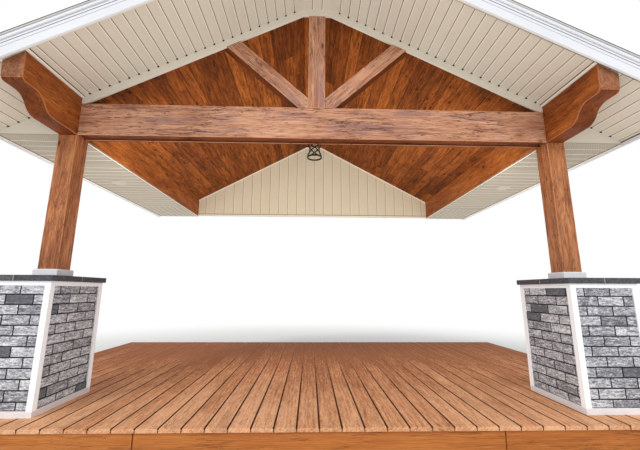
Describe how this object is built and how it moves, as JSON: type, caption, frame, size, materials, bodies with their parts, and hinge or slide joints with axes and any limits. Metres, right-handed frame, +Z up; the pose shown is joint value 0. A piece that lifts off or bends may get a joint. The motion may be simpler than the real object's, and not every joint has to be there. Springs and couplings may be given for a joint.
{
  "type": "porch canopy",
  "caption": "Gable porch canopy with a boarded vault ceiling and an open front truss, carried by timber posts on stone-clad pedestals over a raised board deck.",
  "frame": {"origin": "on the ground under the middle of the part's box", "axes": "+X across the front to the right, +Y from the front towards the wall, +Z up"},
  "size_m": [6.66, 4.33, 4.493],
  "materials": {
    "deck_wood": "stained boards, satin, with fine grain",
    "rim_wood": "stained boards, satin",
    "framing_wood": "bare sawn softwood",
    "concrete": "cast concrete, rough",
    "stone_cladding": "split-face blocks in running bond with dark joints",
    "white_trim": "white paint, satin",
    "cap_stone": "dark cast slabs with fine joints",
    "timber": "stained timber with knots and weathered patches",
    "ceiling_wood": "stained knotty boards, satin",
    "soffit_panel": "grooved tan panels, matt",
    "frieze_panel": "cream paint, matt",
    "white_fascia": "white paint, satin",
    "roof_shingles": "dark mineral shingles over boarding, rough",
    "gable_panel": "cream grooved boards, matt",
    "lamp_white": "white, with a frosted lens",
    "black_metal": "black paint, satin",
    "clear_glass": "clear, with small seeds",
    "frosted_bulb": "frosted"
  },
  "bodies": {
    "root": {"deck_boards": "deck_wood", "rim_front": "rim_wood", "rim_left": "rim_wood", "rim_right": "rim_wood", "deck_ledger": "rim_wood", "deck_joists": "framing_wood", "deck_girders": "framing_wood", "rafters": "framing_wood", "ridge_board": "framing_wood", "ground_pads": "concrete", "pedestal_left": "stone_cladding", "pedestal_right": "stone_cladding", "pedestal_trim_left": "white_trim", "pedestal_trim_right": "white_trim", "post_skirt_left": "white_trim", "post_skirt_right": "white_trim", "pedestal_cap_left": "cap_stone", "pedestal_cap_right": "cap_stone", "post_left": "timber", "post_right": "timber", "tie_beam": "timber", "king_post": "timber", "brace_left": "timber", "brace_right": "timber", "top_chord_left": "timber", "top_chord_right": "timber", "side_beam_left": "timber", "side_beam_right": "timber", "ceiling_left": "ceiling_wood", "ceiling_right": "ceiling_wood", "ceiling_peak": "ceiling_wood", "rake_soffit_left": "soffit_panel", "rake_soffit_right": "soffit_panel", "rake_soffit_peak": "soffit_panel", "eave_soffit_left": "soffit_panel", "eave_soffit_right": "soffit_panel", "frieze_left": "frieze_panel", "frieze_right": "frieze_panel", "closures": "frieze_panel", "rake_fascia_left": "white_fascia", "rake_fascia_right": "white_fascia", "eave_fascia_left": "white_fascia", "eave_fascia_right": "white_fascia", "roof_left": "roof_shingles", "roof_right": "roof_shingles", "ridge_cap": "roof_shingles", "gable_siding": "gable_panel", "soffit_lights": "lamp_white", "lantern_hanger": "black_metal", "lantern_cage": "black_metal", "lantern_glass": "clear_glass", "lantern_bulb": "frosted_bulb"}
  },
  "joints": []
}
